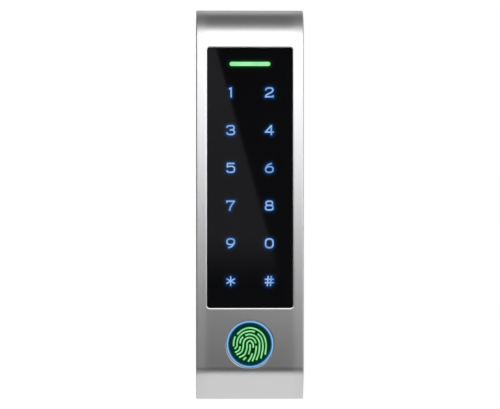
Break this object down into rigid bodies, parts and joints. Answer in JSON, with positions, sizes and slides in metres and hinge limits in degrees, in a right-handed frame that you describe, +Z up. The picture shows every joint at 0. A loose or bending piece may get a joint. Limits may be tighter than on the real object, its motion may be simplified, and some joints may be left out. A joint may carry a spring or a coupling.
{
  "type": "fingerprint scanner terminal",
  "caption": "Slim upright wall terminal in satin silver metal with a black lit touch keypad, a green status light and a round fingerprint sensor in a blue ring of light.",
  "frame": {"origin": "middle of the wall screws' pattern, on the rear face of the mounting plate, which lies on the wall", "axes": "+Z up along the case, +Y into the wall, so the front faces -Y, and +X to the right seen from the front"},
  "size_m": [0.05, 0.022, 0.182],
  "materials": {
    "satin_metal": "fine satin silver on a die casting",
    "plate_steel": "zinc plated sheet steel",
    "screw_steel": "stainless",
    "soft_black": "fine moulded grain",
    "rubber_seal": "matt",
    "label_silver": "blank printed film",
    "gloss_black": "polished",
    "key_light": "translucent, lit blue",
    "status_light": "translucent, lit green",
    "ring_light": "translucent, lit blue",
    "print_light": "translucent, lit green",
    "adhesive_black": "foam tape",
    "white_plastic": "matt white",
    "led_lens": "clear lens",
    "board_black": "black solder mask",
    "board_green": "green solder mask",
    "component_black": "moulded epoxy",
    "copper_track": "copper coil under film",
    "flex_amber": "amber film",
    "relay_shell": "moulded",
    "can_aluminium": "bare can",
    "ferrite_grey": "sintered",
    "cell_steel": "bright",
    "spring_metal": "tinned spring metal",
    "socket_ivory": "moulded",
    "sensor_slate": "moulded chip"
  },
  "bodies": {
    "wall_bracket": {"mounting_plate": "plate_steel"},
    "head": {"front_case": "satin_metal", "rear_cover": "soft_black", "rear_seal": "rubber_seal", "cover_screws": "screw_steel", "cable_grommet": "rubber_seal", "rear_label": "label_silver", "touch_panel": "gloss_black", "key_legends": "key_light", "status_bar": "status_light", "panel_adhesive": "adhesive_black", "light_baffle": "white_plastic", "key_leds": "led_lens", "status_leds": "led_lens", "touch_board": "board_black", "touch_chip": "component_black", "card_antenna": "copper_track", "board_spacer": "soft_black", "board_flex": "flex_amber", "main_board": "board_green", "board_screws": "screw_steel", "processor": "component_black", "memory_chip": "component_black", "card_reader_chip": "component_black", "door_relay": "relay_shell", "buzzer": "component_black", "filter_capacitors": "can_aluminium", "power_inductor": "ferrite_grey", "clock_cell": "cell_steel", "cell_clip": "spring_metal", "cable_header": "white_plastic", "flex_sockets": "socket_ivory", "tamper_sensor": "component_black", "ring_light": "ring_light", "ring_seal": "rubber_seal", "sensor_window": "gloss_black", "print_symbol": "print_light", "sensor_chip": "sensor_slate", "sensor_carrier": "soft_black", "ring_leds": "led_lens", "sensor_board": "board_black", "sensor_clamp": "plate_steel", "clamp_screws": "screw_steel", "sensor_flex": "flex_amber"},
    "lock_washer": {"lock_washer": "screw_steel"},
    "lock_screw": {"lock_screw": "screw_steel"}
  },
  "joints": [
    {"name": "head_tilt", "type": "hinge", "parent": "wall_bracket", "child": "head", "pos_m": [0, -0.0058, 0.084], "axis": [-1, 0, 0], "range_deg": [0, 20]},
    {"name": "lock_drop", "type": "slide", "parent": "wall_bracket", "child": "lock_washer", "axis": [0, 0, -1], "range_m": [0, 0.0015]},
    {"name": "lock_turn", "type": "hinge", "parent": "lock_washer", "child": "lock_screw", "pos_m": [0, -0.0046, -0.0892], "axis": [0, 0, -1], "range_deg": [0, 1080]}
  ],
  "couplings": [
    {"joint": "lock_turn", "follows": "lock_drop", "rad_per_m": 12566}
  ]
}
